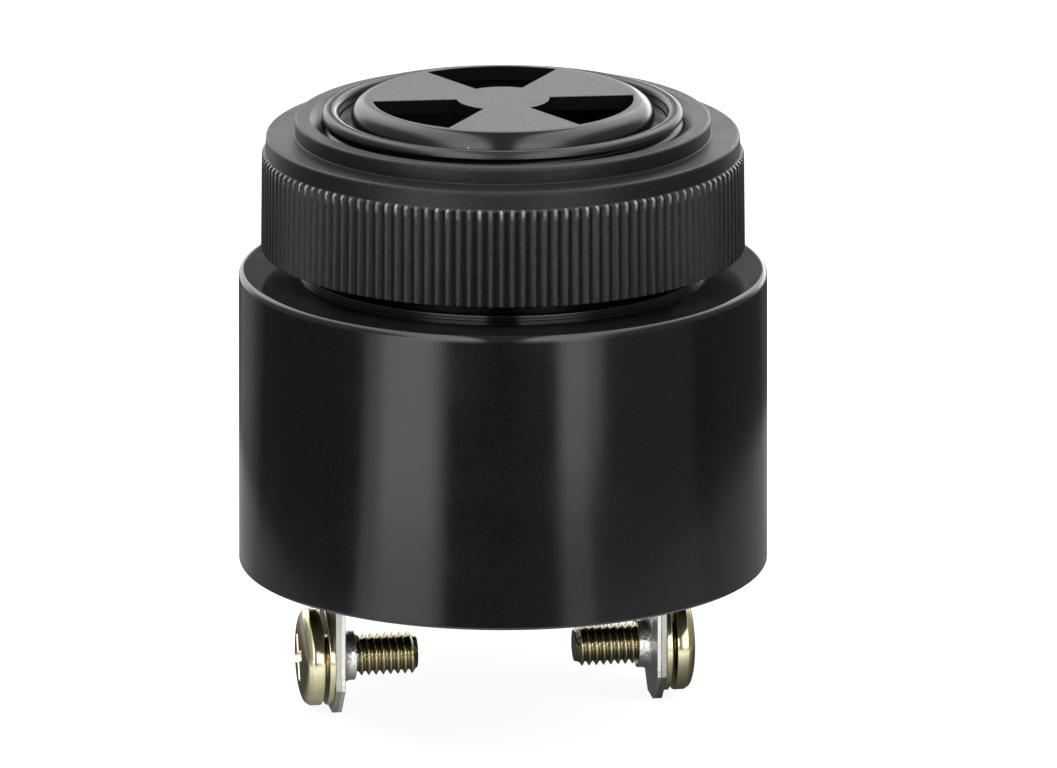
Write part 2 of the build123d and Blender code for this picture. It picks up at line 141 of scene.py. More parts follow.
floor_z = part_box("terminal_left")[0].z
floor_reach = 3.0
floor_mesh = bpy.data.meshes.new("floor")
floor_corners = [
    (sx * floor_reach, sy * floor_reach, floor_z) for sx, sy in ((-1, -1), (1, -1), (1, 1), (-1, 1))
]
floor_mesh.from_pydata(floor_corners, [], [(0, 1, 2, 3)])
floor = bpy.data.objects.new("floor", floor_mesh)
bpy.context.scene.collection.objects.link(floor)
floor_finish = bpy.data.materials.new("floor")
floor_finish.use_nodes = True
floor_finish.cycles.emission_sampling = "NONE"
tree = floor_finish.node_tree
tree.nodes.clear()
across, near = seen_from_camera(tree, put(tree, "TexCoord").outputs["Object"])[:2]
reach = length_of(tree, across, near)
# The back half mirrors the front half, much dimmer
bearing = times(tree, math_of(tree, "ARCTAN2", across, math_of(tree, "ABSOLUTE", near)), 180.0 / math.pi)
in_front = rise(tree, near, -0.01, 0.01, 0.10, 1.0)
left_panel = total(
    tree, times(tree, between(tree, bearing, -56.0, -24.5, 3.5), 0.85),
    times(tree, between(tree, bearing, -47.0, -30.0, 6.0), rise(tree, reach, 0.080, 0.118, 0.40, 1.25)),
)
right_panel = total(
    tree, times(tree, between(tree, bearing, 24.0, 33.0, 3.0), 0.55),
    times(tree, between(tree, bearing, 26.0, 38.0, 6.0), rise(tree, near, 0.086, 0.104), 1.15),
    times(tree, between(tree, bearing, 26.0, 80.0, 8.0), 0.12),
)
# A dim pool of light round the buzzer, with its middle 9 mm right of the axis and 15 mm behind it
pool_reach = length_of(tree, total(tree, across, -0.009), total(tree, near, 0.015))
pool = times(tree, rise(tree, pool_reach, 0.076, 0.090, 0.26, 0.0), rise(tree, reach, 0.030, 0.055, 0.1, 1.0))
middle = times(
    tree, between(tree, bearing, -21.0, 21.0, 4.0), in_front, rise(tree, reach, 0.040, 0.060, 0.0, 0.7),
)
pool = times(tree, pool, math_of(tree, "SUBTRACT", 1.0, middle))
sideways = math_of(tree, "DIVIDE", across, math_of(tree, "MAXIMUM", reach, 0.001))
far_floor = times(tree, side_panels(tree, sideways), rise(tree, reach, 0.15, 0.35, 0.0, 1.3))
# The spot in front of the terminals, which the screws and tabs mirror
front_glow = times(tree, rise(tree, near, -0.006, 0.014), rise(tree, reach, 0.040, 0.050, 1.2, 0.0))
panels = times(tree, in_front, total(tree, left_panel, right_panel), rise(tree, reach, 0.050, 0.060))
mirrored = total(tree, panels, front_glow, pool, far_floor, 0.04)
rays = put(tree, "LightPath").outputs
plain = put(tree, "BsdfDiffuse", {"Color": (0.30, 0.30, 0.30, 1.0)})
paper_light = times(tree, rays["Is Camera Ray"], 0.90)
paper = put(tree, "Emission", {"Color": (0.985, 0.972, 1.0, 1.0), "Strength": paper_light})
seen = put(tree, "AddShader", {0: plain.outputs[0], 1: paper.outputs[0]})
mirror_side = put(tree, "Emission", {"Color": (0.97, 1.0, 0.98, 1.0), "Strength": mirrored})
mixed = put(tree, "MixShader", {0: rays["Is Glossy Ray"], 1: seen.outputs[0], 2: mirror_side.outputs[0]})
put(tree, "OutputMaterial", {"Surface": mixed.outputs[0]})
floor_mesh.materials.append(floor_finish)

world = bpy.data.worlds.new("studio")
bpy.context.scene.world = world
world.use_nodes = True
world.cycles.sampling_method = "NONE"
tree = world.node_tree
tree.nodes.clear()
across, near, height = seen_from_camera(tree, put(tree, "TexCoord").outputs["Generated"])
brightness = total(tree, rise(tree, height, 0.0, 0.65, 1.6, 2.4), rise(tree, near, 0.3, 0.8, 0.0, 0.7))
low_band = times(tree, between(tree, height, 0.02, 0.15, 0.07), rise(tree, across, -0.10, 0.10, 1.3, 3.3))
high_band = times(tree, between(tree, height, 0.42, 0.56, 0.07), rise(tree, across, -0.10, 0.10, 1.4, 3.0))
back_wall = times(tree, rise(tree, near, -0.9, -0.7, 1.0, 0.0), total(tree, low_band, high_band))
dim_room = 0.18
mirrored = math_of(tree, "MAXIMUM", times(tree, side_panels(tree, across), brightness), back_wall)
mirrored = math_of(tree, "MAXIMUM", mirrored, dim_room)
rays = put(tree, "LightPath").outputs
glossy = rays["Is Glossy Ray"]
direct = math_of(tree, "MAXIMUM", rays["Is Camera Ray"], rays["Is Transmission Ray"])
rest = times(tree, math_of(tree, "SUBTRACT", math_of(tree, "SUBTRACT", 1.0, glossy), direct), 0.6)
light = total(tree, direct, times(tree, glossy, mirrored), rest)
background = put(tree, "Background", {"Color": (1.0, 1.0, 1.0, 1.0), "Strength": light})
put(tree, "OutputWorld", {"Surface": background.outputs[0]})

for name, place, size, power in (
    ("overhead_lamp", (-0.25, -0.25, 0.75), 0.6, 9.0),
    ("side_lamp", (0.55, -0.45, 0.45), 0.5, 3.0),
):
    lamp = bpy.data.objects.new(name, bpy.data.lights.new(name, "AREA"))
    lamp.data.shape, lamp.data.size, lamp.data.energy = "DISK", size, power
    lamp.location = place
    lamp.rotation_euler = Vector(place).to_track_quat("Z", "Y").to_euler()
    lamp.visible_glossy = False
    bpy.context.scene.collection.objects.link(lamp)


# Housing: one moulding of glossy black plastic. Its threaded neck goes through the panel, and four posts
# inside the wall stop the driver board.
def rounded(corners, arc_steps=6):
    """A closed outline of (radius, height) points. Each corner (radius, height, fillet) becomes an arc that
    touches both of its sides, with a point just before it and just after it that keeps the flats flat."""
    points = []
    for index, (r, z, fillet) in enumerate(corners):
        corner = np.array([r, z])
        if fillet == 0:
            points.append(corner)
            continue
        before = np.array(corners[index - 1][:2]) - corner
        after = np.array(corners[(index + 1) % len(corners)][:2]) - corner
        into, out = before / np.linalg.norm(before), after / np.linalg.norm(after)
        half = math.acos(np.clip(into @ out, -1.0, 1.0)) / 2
        run = fillet / math.tan(half)
        hold = min(0.4 * fillet, 0.1 * np.linalg.norm(before), 0.1 * np.linalg.norm(after))
        middle = corner + (into + out) / np.linalg.norm(into + out) * fillet / math.sin(half)
        start, end = corner + into * run - middle, corner + out * run - middle
        share = np.linspace(0.0, 1.0, arc_steps + 1)[:, None]
        turn = math.pi - 2 * half
        arc = (start * np.sin((1 - share) * turn) + end * np.sin(share * turn)) / math.sin(turn)
        points += [corner + into * (run + hold), *(middle + arc), corner + out * (run + hold)]
    return np.array(points)


def tooth(phase, crest, root):
    """A thread's depth over one pitch, from 0 at the crest to 1 at the root, as two straight flanks between
    two flats."""
    away = np.abs((phase + 0.5) % 1.0 - 0.5) * 2
    return np.clip((away - crest) / (1 - crest - root), 0.0, 1.0)


def fade(value, start, end):
    """Goes smoothly from 0 to 1 as the value goes from start to end."""
    share = np.clip((value - start) / (end - start), 0.0, 1.0)
    return share * share * (3 - 2 * share)


def band_faces(rows, columns, first=0, wrap_rows=False):
    """The quads of rows round a closed ring of columns. The last row joins the first if it wraps."""
    row = np.arange(rows if wrap_rows else rows - 1)[:, None]
    column = np.arange(columns)[None, :]
    next_row, next_column = (row + 1) % rows, (column + 1) % columns
    corners = (
        row * columns + column, row * columns + next_column,
        next_row * columns + next_column, next_row * columns + column,
    )
    return np.stack(np.broadcast_arrays(*corners), axis=-1).reshape(-1, 4) + first


def cap_faces(ring, pole):
    """A fan of triangles that closes a ring of vertices on to one at its centre."""
    return np.stack([ring, np.roll(ring, -1), np.full_like(ring, pole)], axis=-1)


def new_piece(name, points, *faces, sharp=40.0):
    """Puts points in millimetres, with their quads and triangles, into an object at the origin. The faces are
    turned round if the volume that they close comes out negative."""
    points = np.asarray(points, float) * MM
    volume = 0.0
    for part in faces:
        p = points[part]
        for k in range(1, part.shape[1] - 1):
            volume += np.einsum("ij,ij->i", p[:, 0], np.cross(p[:, k], p[:, k + 1])).sum()
    if volume < 0:
        faces = [part[:, ::-1] for part in faces]
    mesh = bpy.data.meshes.new(name)
    mesh.vertices.add(len(points))
    mesh.vertices.foreach_set("co", points.astype(np.float32).ravel())
    loops = np.concatenate([part.ravel() for part in faces]).astype(np.int32)
    totals = np.concatenate([np.full(len(part), part.shape[1]) for part in faces]).astype(np.int32)
    mesh.loops.add(len(loops))
    mesh.loops.foreach_set("vertex_index", loops)
    mesh.polygons.add(len(totals))
    mesh.polygons.foreach_set("loop_start", (np.cumsum(totals) - totals).astype(np.int32))
    mesh.update(calc_edges=True)
    mesh.shade_smooth()
    mesh.set_sharp_from_angle(angle=math.radians(sharp))
    piece = bpy.data.objects.new(name, mesh)
    bpy.context.scene.collection.objects.link(piece)
    return piece


def settle(piece, body, slot, finish, *nodes):
    """Gives a piece its finish, lets it ride on its body and hides the CAD nodes that it is. The slot is not
    used.
    """
    piece.data.materials.clear()
    piece.data.materials.append(finish)
    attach(piece, body)
    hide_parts(*nodes)


def about_z(r, z, turn):
    """The point at radius r and height z, turned about the Z axis: (r cos, r sin, z)."""
    r, z, turn = np.broadcast_arrays(r, z, turn)
    return np.stack([r * np.cos(turn), r * np.sin(turn), z], axis=-1).reshape(-1, 3)


def new_group(name, inputs, outputs):
    """A shader node group with number sockets: the inputs' names and values, and the outputs' names."""
    group = bpy.data.node_groups.new(name, "ShaderNodeTree")
    for socket, value in inputs.items():
        made = group.interface.new_socket(socket, in_out="INPUT", socket_type="NodeSocketFloat")
        made.default_value = value
    for socket in outputs:
        group.interface.new_socket(socket, in_out="OUTPUT", socket_type="NodeSocketFloat")
    return group, group.nodes.new("NodeGroupInput").outputs, group.nodes.new("NodeGroupOutput").inputs


def use(tree, group, **sockets):
    """Places a group in a material with its own values, and gives its outputs."""
    node = tree.nodes.new("ShaderNodeGroup")
    node.node_tree = group
    for socket, value in sockets.items():
        socket = socket.replace("_", " ")
        if isinstance(value, bpy.types.NodeSocket):
            tree.links.new(value, node.inputs[socket])
        else:
            node.inputs[socket].default_value = value
    return node.outputs


# Grain: two sizes of noise added up, as a height and as a mask
grain, given, wanted = new_group("grain", {"Size mm": 0.2, "Contrast": 1.0}, ("Height", "Mask"))
where = put(grain, "TexCoord").outputs["Object"]
per_metre = math_of(grain, "DIVIDE", 1000.0, given["Size mm"])
coarse = put(grain, "TexNoise", {"Vector": where, "Scale": per_metre, "Detail": 2.0, "Roughness": 0.6})
fine = put(grain, "TexNoise", {"Vector": where, "Scale": times(grain, per_metre, 3.7), "Detail": 1.0})
both = total(grain, times(grain, coarse.outputs[0], 0.65), times(grain, fine.outputs[0], 0.35))
grain.links.new(both, wanted["Height"])
spread = times(grain, math_of(grain, "SUBTRACT", both, 0.5), given["Contrast"])
grain.links.new(put(grain, "Clamp", {0: total(grain, spread, 0.5)}).outputs[0], wanted["Mask"])

# Dust: a few cells of a cell pattern hold a speck, each with its own size
dust, given, wanted = new_group("dust", {"Cell mm": 1.2, "Share": 0.05, "Speck": 0.12}, ("Mask",))
where = put(dust, "TexCoord").outputs["Object"]
bent = put(dust, "TexNoise", {"Vector": where, "Scale": 9000.0, "Detail": 1.0}).outputs["Color"]
bent = put(dust, "VectorMath", {0: bent, "Scale": 0.00008}, operation="SCALE").outputs[0]
where = put(dust, "VectorMath", {0: where, 1: bent}).outputs[0]
cells = put(dust, "TexVoronoi", {"Vector": where, "Scale": math_of(dust, "DIVIDE", 1000.0, given["Cell mm"])})
lot = put(dust, "SeparateColor", {0: cells.outputs["Color"]})
chosen = math_of(dust, "LESS_THAN", lot.outputs[0], given["Share"])
radius = times(dust, given["Speck"], total(dust, lot.outputs[1], 0.25))
speck = math_of(dust, "LESS_THAN", cells.outputs["Distance"], radius)
dust.links.new(times(dust, chosen, speck), wanted["Mask"])

# Scratches: hairlines where a long drawn-out noise passes through its middle value, broken up by another
scratches, given, wanted = new_group("scratches", {"Turn": 0.6, "Width": 0.004, "Share": 0.3}, ("Mask",))
where = put(scratches, "TexCoord").outputs["Object"]
turned = put(scratches, "VectorRotate", {"Vector": where, "Axis": (0.3, 1.0, 0.2), "Angle": given["Turn"]})
drawn = put(scratches, "Mapping", {"Vector": turned.outputs[0], "Scale": (60.0, 60.0, 900.0)}).outputs[0]
line = put(scratches, "TexNoise", {"Vector": drawn, "Scale": 1.0, "Detail": 0.0}).outputs[0]
off_middle = math_of(scratches, "ABSOLUTE", math_of(scratches, "SUBTRACT", line, 0.5))
line = math_of(scratches, "LESS_THAN", off_middle, given["Width"])
gaps = put(scratches, "TexNoise", {"Vector": where, "Scale": 120.0, "Detail": 1.0}).outputs[0]
gaps = math_of(scratches, "LESS_THAN", gaps, given["Share"])
scratches.links.new(times(scratches, line, gaps), wanted["Mask"])

# Edges: how far a small bevel would turn the surface away from its own face, 0 on flats and 1 on corners
edges, given, wanted = new_group("edges", {"Radius mm": 0.1, "From": 0.02, "To": 0.25}, ("Mask",))
softened_normal = put(edges, "Bevel", {"Radius": times(edges, given["Radius mm"], MM)}, samples=4).outputs[0]
own_normal = put(edges, "NewGeometry").outputs["Normal"]
same = put(edges, "VectorMath", {0: softened_normal, 1: own_normal}, operation="DOT_PRODUCT").outputs["Value"]
turned_away = math_of(edges, "SUBTRACT", 1.0, same)
edges.links.new(rise(edges, turned_away, given["From"], given["To"]), wanted["Mask"])


def new_finish(name):
    """An empty material and its node tree, with the shader node that its nodes feed."""
    finish = bpy.data.materials.new(name)
    finish.use_nodes = True
    return finish, finish.node_tree, finish.node_tree.nodes["Principled BSDF"]


def blend_colours(tree, share, first, second):
    """Goes from the first colour to the second as the share goes from 0 to 1."""
    return put(tree, "Mix", {0: share, 6: first, 7: second}, data_type="RGBA").outputs[2]


def set_shader(tree, shader, bump=None, bump_mm=0.0, **sockets):
    """Feeds the shader's inputs, and turns a height from 0 to 1 into relief of that many millimetres."""
    for socket, value in sockets.items():
        socket = socket.replace("_", " ")
        if isinstance(value, bpy.types.NodeSocket):
            tree.links.new(value, shader.inputs[socket])
        else:
            shader.inputs[socket].default_value = value
    if bump is not None:
        relief = put(tree, "Bump", {"Height": bump, "Strength": 1.0, "Distance": bump_mm * MM})
        tree.links.new(relief.outputs[0], shader.inputs["Normal"])


def place_mm(tree):
    """The x, y and z of a point on the piece, in millimetres. The height, z, is from the shoulder's plane."""
    parts = put(tree, "SeparateXYZ", {0: put(tree, "TexCoord").outputs["Object"]}).outputs
    return [times(tree, part, 1000.0) for part in parts]


black = (0.0042, 0.0052, 0.0047, 1.0)
dust_colour = (0.45, 0.45, 0.42, 1.0)

gloss_black, tree, shader = new_finish("gloss_black")
peel = use(tree, grain, Size_mm=2.2, Contrast=1.2)
speckle = use(tree, grain, Size_mm=0.13, Contrast=4.0)["Mask"]
specks = use(tree, dust, Cell_mm=2.4, Share=0.035, Speck=0.06)["Mask"]
hairs = use(tree, scratches, Turn=0.75, Width=0.0012, Share=0.30)["Mask"]
edge_mask = use(tree, edges, Radius_mm=0.12, From=0.03, To=0.4)["Mask"]
clouds = use(tree, grain, Size_mm=14.0, Contrast=2.0)["Mask"]
# The neck is duller than the body, and the shoulder is shinier
height = place_mm(tree)[2]
roughness = total(tree, rise(tree, clouds, 0.0, 1.0, 0.14, 0.20), rise(tree, height, 1.0, 1.6, 0.0, 0.09))
roughness = total(tree, roughness, times(tree, between(tree, height, -0.3, 0.6, 0.1), -0.07))
marks = math_of(tree, "MAXIMUM", times(tree, hairs, 0.3), specks)
roughness = total(tree, roughness, times(tree, marks, 0.3))
colour = blend_colours(tree, speckle, (0.0018, 0.0024, 0.0021, 1.0), (0.0100, 0.0115, 0.0105, 1.0))
colour = blend_colours(tree, times(tree, edge_mask, 0.25), colour, (0.020, 0.022, 0.021, 1.0))
# Painted highlight: the rounded edges of the seat ring are made pale
seat_highlight_band = between(tree, height, 0.15, 0.60, 0.05)
colour = blend_colours(tree, times(tree, edge_mask, seat_highlight_band), colour, (0.090, 0.098, 0.092, 1.0))
colour = blend_colours(tree, times(tree, specks, 0.8), colour, dust_colour)
colour = blend_colours(tree, times(tree, hairs, 0.03), colour, dust_colour)
set_shader(tree, shader, peel["Height"], 0.006, Base_Color=colour, Roughness=roughness, IOR=1.54)

body_dia, body_top_dia, body_height, body_bore = 43.0, 42.8, 24.4, 39.0
seat_dia, seat_height = 33.4, 0.5
neck_dia, neck_height, neck_bore = 29.2, 13.35, 24.4
relief_dia, relief_top = 28.8, 1.7
mouth_dia, mouth_floor = 26.6, 11.5
web_low, web_high, sound_hole_dia = 1.0, 3.0, 6.0
shoulder_under, rebate_top, rebate_dia = -2.5, -22.2, 40.6
neck_pitch, neck_thread_depth = 1.5, 0.5
housing_corners = [
    (body_dia / 2, -body_height, 0.25), (body_top_dia / 2, 0.0, 0.5),
    (seat_dia / 2, 0.0, 0.06), (seat_dia / 2, seat_height, 0.167),
    (relief_dia / 2, seat_height, 0.06), (relief_dia / 2, relief_top, 0.04),
    (neck_dia / 2, relief_top, 0.08), (neck_dia / 2, neck_height, 0.55),
    (mouth_dia / 2, neck_height, 0.55), (mouth_dia / 2, mouth_floor, 0.12),
    (neck_bore / 2, mouth_floor, 0.12), (neck_bore / 2, web_high, 0.2),
    (sound_hole_dia / 2, web_high, 0.2), (sound_hole_dia / 2, web_low, 0.2),
    (neck_bore / 2, web_low, 0.2), (neck_bore / 2, shoulder_under, 0.12),
    (body_bore / 2, shoulder_under, 0.4), (body_bore / 2, rebate_top, 0.05),
    (rebate_dia / 2, rebate_top, 0.05), (rebate_dia / 2, -body_height, 0.12),
]
housing_outline = rounded(housing_corners)
on_neck = np.flatnonzero(np.isclose(housing_outline[:, 0], neck_dia / 2) & (housing_outline[:, 1] < 2.5))[-1]
thread_rows = np.linspace(relief_top + 0.15, neck_height - 0.62, 220)
thread_outline = np.stack([np.full_like(thread_rows, neck_dia / 2), thread_rows], axis=-1)
lower_outline, upper_outline = housing_outline[: on_neck + 1], housing_outline[on_neck + 1 :]
housing_outline = np.concatenate([lower_outline, thread_outline, upper_outline])
turns = np.arange(240) / 240 * 2 * math.pi
r, z = housing_outline[:, :1], housing_outline[:, 1:]
threaded = np.isclose(r, neck_dia / 2) * fade(z, relief_top + 0.1, relief_top + 0.9)
threaded = threaded * (1 - fade(z, neck_height - 0.75, neck_height - 0.60))
# The thread's flanks are smoothed, so that no crease jumps from row to row
ridges = tooth(z / neck_pitch - turns / (2 * math.pi), 0.15, 0.1)
r = r - threaded * neck_thread_depth * fade(ridges, 0.0, 1.0)
points = about_z(r, z, turns)
faces = band_faces(len(housing_outline), len(turns), wrap_rows=True)
# Each post is a box from the underside of the shoulder down to the board
post_low, post_high, post_inner, post_outer = -13.0, -2.4, 17.3, 19.7
post_outline = ((post_inner, -1.0), (post_outer, -1.0), (post_outer, 1.0), (post_inner, 1.0))
for post_turn in np.radians([45.0, 135.0, 225.0, 315.0]):
    radial = np.array([math.cos(post_turn), math.sin(post_turn)])
    side_on = np.array([-radial[1], radial[0]])
    square = [radial * a + side_on * b for a, b in post_outline]
    first = len(points)
    points = np.concatenate([points, [(*corner, z) for z in (post_low, post_high) for corner in square]])
    box = np.array([[3, 2, 1, 0], [4, 5, 6, 7], [0, 1, 5, 4], [1, 2, 6, 5], [2, 3, 7, 6], [3, 0, 4, 7]])
    faces = np.concatenate([faces, box[:, ::-1] + first])
housing = new_piece("housing_moulding", points, faces)
settle(housing, "root", "gloss_black", gloss_black, "housing")

# Ring nut: satin black moulding with 140 ribs to grip, a smooth band over them, and a raised collar. It is
# threaded inside and sits part of the way up the neck, as with no panel in it.
rib_count, rib_depth = 140, 0.36
rib_bottom_dia, rib_top_dia, band_dia, band_top_dia = 39.2, 39.0, 38.45, 38.3
nut_bottom, rib_top, annulus_z, collar_top = 1.85, 9.85, 11.25, 12.6
collar_dia, nut_bore, mouth_top_dia, mouth_depth = 33.6, 29.32, 31.2, 0.6
bevel = (rib_top_dia - band_dia) / 2

satin_black, tree, shader = new_finish("satin_black")
texture = use(tree, grain, Size_mm=0.14, Contrast=5.0)
clouds = use(tree, grain, Size_mm=6.0, Contrast=2.0)["Mask"]
tip_highlight_variation = use(tree, grain, Size_mm=1.3, Contrast=4.5)["Mask"]
# The ribs' crests are half way between the grooves. Their colour is lightened as a painted highlight,
# brightest at their top ends.
x, y, z = place_mm(tree)
wave = math_of(tree, "COSINE", times(tree, math_of(tree, "ARCTAN2", y, x), float(rib_count)))
outermost = rise(tree, length_of(tree, x, y), 18.9, 19.2)
on_ribs = times(tree, outermost, rise(tree, z, rib_top - 0.1, rib_top, 1.0, 0.0))
crests = times(tree, rise(tree, wave, -0.9, -0.4, 1.0, 0.0), on_ribs)
at_top = rise(tree, z, rib_top - 1.05, rib_top - 0.35)
painted_tip_highlight = times(tree, crests, at_top, rise(tree, tip_highlight_variation, 0.0, 1.0, 0.2, 1.0))
specks = use(tree, dust, Cell_mm=1.6, Share=0.05, Speck=0.07)["Mask"]
edge_mask = use(tree, edges, Radius_mm=0.09, From=0.05, To=0.5)["Mask"]
roughness = rise(tree, clouds, 0.0, 1.0, 0.30, 0.36)
roughness = math_of(tree, "SUBTRACT", roughness, times(tree, edge_mask, 0.08))
colour = blend_colours(tree, texture["Mask"], (0.0008, 0.0014, 0.0011, 1.0), (0.0125, 0.0155, 0.0135, 1.0))
colour = blend_colours(tree, times(tree, edge_mask, 0.35), colour, (0.060, 0.064, 0.062, 1.0))
# Painted highlight along the crests, and a brighter painted highlight at their top ends
colour = blend_colours(tree, times(tree, crests, texture["Mask"], 0.5), colour, (0.060, 0.066, 0.062, 1.0))
colour = blend_colours(tree, times(tree, painted_tip_highlight, 0.9), colour, (0.24, 0.26, 0.24, 1.0))
colour = blend_colours(tree, times(tree, specks, 0.7), colour, dust_colour)
set_shader(tree, shader, texture["Height"], 0.030, Base_Color=colour, Roughness=roughness, IOR=1.52)
set_shader(tree, shader, Specular_IOR_Level=0.3)

outer_corners = rounded([
    (nut_bore / 2 + 2.5, nut_bottom, 0), (rib_bottom_dia / 2, nut_bottom, 0.12),
    (rib_top_dia / 2, rib_top - bevel, 0), (band_dia / 2, rib_top, 0.03), (band_top_dia / 2, annulus_z, 0.25),
    (collar_dia / 2, annulus_z, 0.08), (collar_dia / 2, collar_top, 0.25),
    (mouth_top_dia / 2 + 0.3, collar_top, 0),
])
corner_index = np.flatnonzero(np.isclose(outer_corners[:, 1], rib_top - bevel))[0]
rib_end, band_foot = outer_corners[corner_index], np.array([band_dia / 2, rib_top])
bevel_rows = rib_end + np.linspace(0.0, 1.0, 6)[1:-1, None] * (band_foot - rib_end)
outer = np.concatenate([outer_corners[: corner_index + 1], bevel_rows, outer_corners[corner_index + 1 :]])
rib_steps = np.array([-0.5, -0.43, -0.36, -0.2, 0.0, 0.2, 0.36, 0.43])
outer_share = (np.arange(rib_count)[:, None] + rib_steps).ravel()
outer_turns = outer_share / rib_count * 2 * math.pi
groove = np.abs((outer_share + 0.5) % 1.0 - 0.5)
groove_wall = rib_bottom_dia / 2 - rib_depth * np.clip(1 - groove / 0.4, 0.0, 1.0) ** 0.9
r, z = outer[:, :1], outer[:, 1:]
ribbed = (z < rib_top - 0.001) & (r > band_dia / 2 - 0.01)
r = np.where(ribbed, np.minimum(r, groove_wall), r)
outer_points = about_z(r, z, outer_turns)
inner_steps = 280
inner_turns = outer_turns.reshape(inner_steps, -1)[:, 0]
bore_rows = np.linspace(collar_top - mouth_depth - 0.1, nut_bottom + 0.45, 140)
inner = np.concatenate([
    rounded([
        (mouth_top_dia / 2 + 0.2, collar_top, 0), (mouth_top_dia / 2, collar_top, 0.06),
        (nut_bore / 2, collar_top - mouth_depth, 0.06), (nut_bore / 2, nut_bottom + 1.0, 0),
    ])[:-1],
    np.stack([np.full_like(bore_rows, nut_bore / 2), bore_rows], axis=-1),
    rounded([
        (nut_bore / 2, collar_top - 1.0, 0), (nut_bore / 2, nut_bottom, 0.3),
        (nut_bore / 2 + 2.2, nut_bottom, 0),
    ])[2:],
])
r, z = inner[:, :1], inner[:, 1:]
in_bore = np.isclose(r, nut_bore / 2) * fade(z, nut_bottom + 0.4, nut_bottom + 0.9)
in_bore = in_bore * (1 - fade(z, collar_top - 1.2, collar_top - 0.7))
ridges = tooth(z / neck_pitch - inner_turns / (2 * math.pi) + 0.5, 0.15, 0.1)
r = r + in_bore * neck_thread_depth * fade(ridges, 0.0, 1.0)
inner_points = about_z(r, z, inner_turns)


def stitch(coarse_ring, fine_ring):
    """Triangles between a ring and one of a whole number of times as many vertices that starts beside it."""
    ratio = len(fine_ring) // len(coarse_ring)
    beside = np.repeat(coarse_ring, ratio)
    fans = np.stack([beside, np.roll(fine_ring, -1), fine_ring], axis=-1)
    bridges = np.stack([coarse_ring, np.roll(coarse_ring, -1), np.roll(fine_ring[::ratio], -1)], axis=-1)
    return np.concatenate([fans, bridges])


fine_count, shift = len(outer_turns), len(outer_points)
inner_ring, outer_ring = shift + np.arange(inner_steps), np.arange(fine_count)
top_seam = stitch(inner_ring, outer_ring + shift - fine_count)[:, ::-1]
under_seam = stitch(inner_ring + (len(inner) - 1) * inner_steps, outer_ring)
ring_nut = new_piece(
    "ribbed_ring_nut", np.concatenate([outer_points, inner_points]),
    np.concatenate([band_faces(len(outer), fine_count), band_faces(len(inner), inner_steps, first=shift)]),
    np.concatenate([top_seam, under_seam]),
)
settle(ring_nut, "nut", "satin_black", satin_black, "ring_nut")

# Grille: a glossy black cap pressed into the neck's mouth, flange down. Its flat top has a spark-eroded
# texture, lightened to grey as a painted sheen, and three sector windows round a hub.
grille_top, plate_thickness, window_inner, window_outer = 14.15, 1.2, 3.75, 10.55
wall_radius, flat_radius, grille_inner, flange_radius, flange_top = 12.3, 10.7, 10.8, 13.25, 12.3
edge_radius, plate_under = 1.6, grille_top - plate_thickness
first_window, half_window = 87, 30
windows = [(turn - half_window, turn + half_window) for turn in range(first_window, first_window + 360, 120)]
plate_rows = np.array([1.2, 2.4, window_inner, 5.3, 7.0, 8.7, window_outer])
bend = np.linspace(0.0, math.pi / 2, 9)
grille_outline = np.concatenate([
    np.stack([plate_rows, np.full_like(plate_rows, grille_top)], axis=-1),
    np.stack([
        flat_radius + edge_radius * np.sin(bend), grille_top - edge_radius + edge_radius * np.cos(bend),
    ], axis=-1),
    [
        (wall_radius, flange_top), (flange_radius, flange_top), (flange_radius, mouth_floor),
        (grille_inner, mouth_floor), (grille_inner, plate_under),
    ],
    np.stack([plate_rows[::-1], np.full_like(plate_rows, plate_under)], axis=-1),
])
points = about_z(grille_outline[:, :1], grille_outline[:, 1:], np.radians(np.arange(360)))
rows = len(grille_outline)
points = np.concatenate([points, [(0.0, 0.0, grille_top), (0.0, 0.0, plate_under)]])
cells = band_faces(rows, 360).reshape(rows - 1, 360, 4)
row_of = np.arange(rows - 1)
first_row, last_row = 2, 6
above = (row_of >= first_row) & (row_of < last_row)
below = (row_of >= rows - 1 - last_row) & (row_of < rows - 1 - first_row)
in_window = np.zeros(360, bool)
for start, end in windows:
    in_window[np.arange(start, end) % 360] = True
kept = cells[~((above | below)[:, None] & in_window[None, :])]
walls = []
for start, end in windows:
    round_hub = np.arange(start, end + 1) % 360
    loop = np.concatenate([
        first_row * 360 + round_hub, np.arange(first_row + 1, last_row) * 360 + end % 360,
        last_row * 360 + round_hub[::-1], np.arange(last_row - 1, first_row, -1) * 360 + start % 360,
    ])
    under = (rows - 1 - loop // 360) * 360 + loop % 360
    walls.append(np.stack([loop, np.roll(loop, -1), np.roll(under, -1), under], axis=-1))
hub_fans = np.concatenate([
    cap_faces(np.arange(360)[::-1], rows * 360), cap_faces((rows - 1) * 360 + np.arange(360), rows * 360 + 1),
])
grille = new_piece("window_grille", points, np.concatenate([kept, *walls]), hub_fans, sharp=30.0)
softener = grille.modifiers.new("moulded edges", "BEVEL")
softener.limit_method, softener.angle_limit = "ANGLE", math.radians(50.0)
softener.width, softener.segments, softener.harden_normals = 0.10 * MM, 2, True

grille_black, tree, shader = new_finish("grille_black")
texture = use(tree, grain, Size_mm=0.22, Contrast=2.4)
peel = use(tree, grain, Size_mm=1.6, Contrast=1.0)
specks = use(tree, dust, Cell_mm=1.5, Share=0.05, Speck=0.08)["Mask"]
flat_top = rise(tree, place_mm(tree)[2], grille_top - 0.06, grille_top - 0.02)
roughness = total(tree, times(tree, flat_top, 0.22), 0.17)
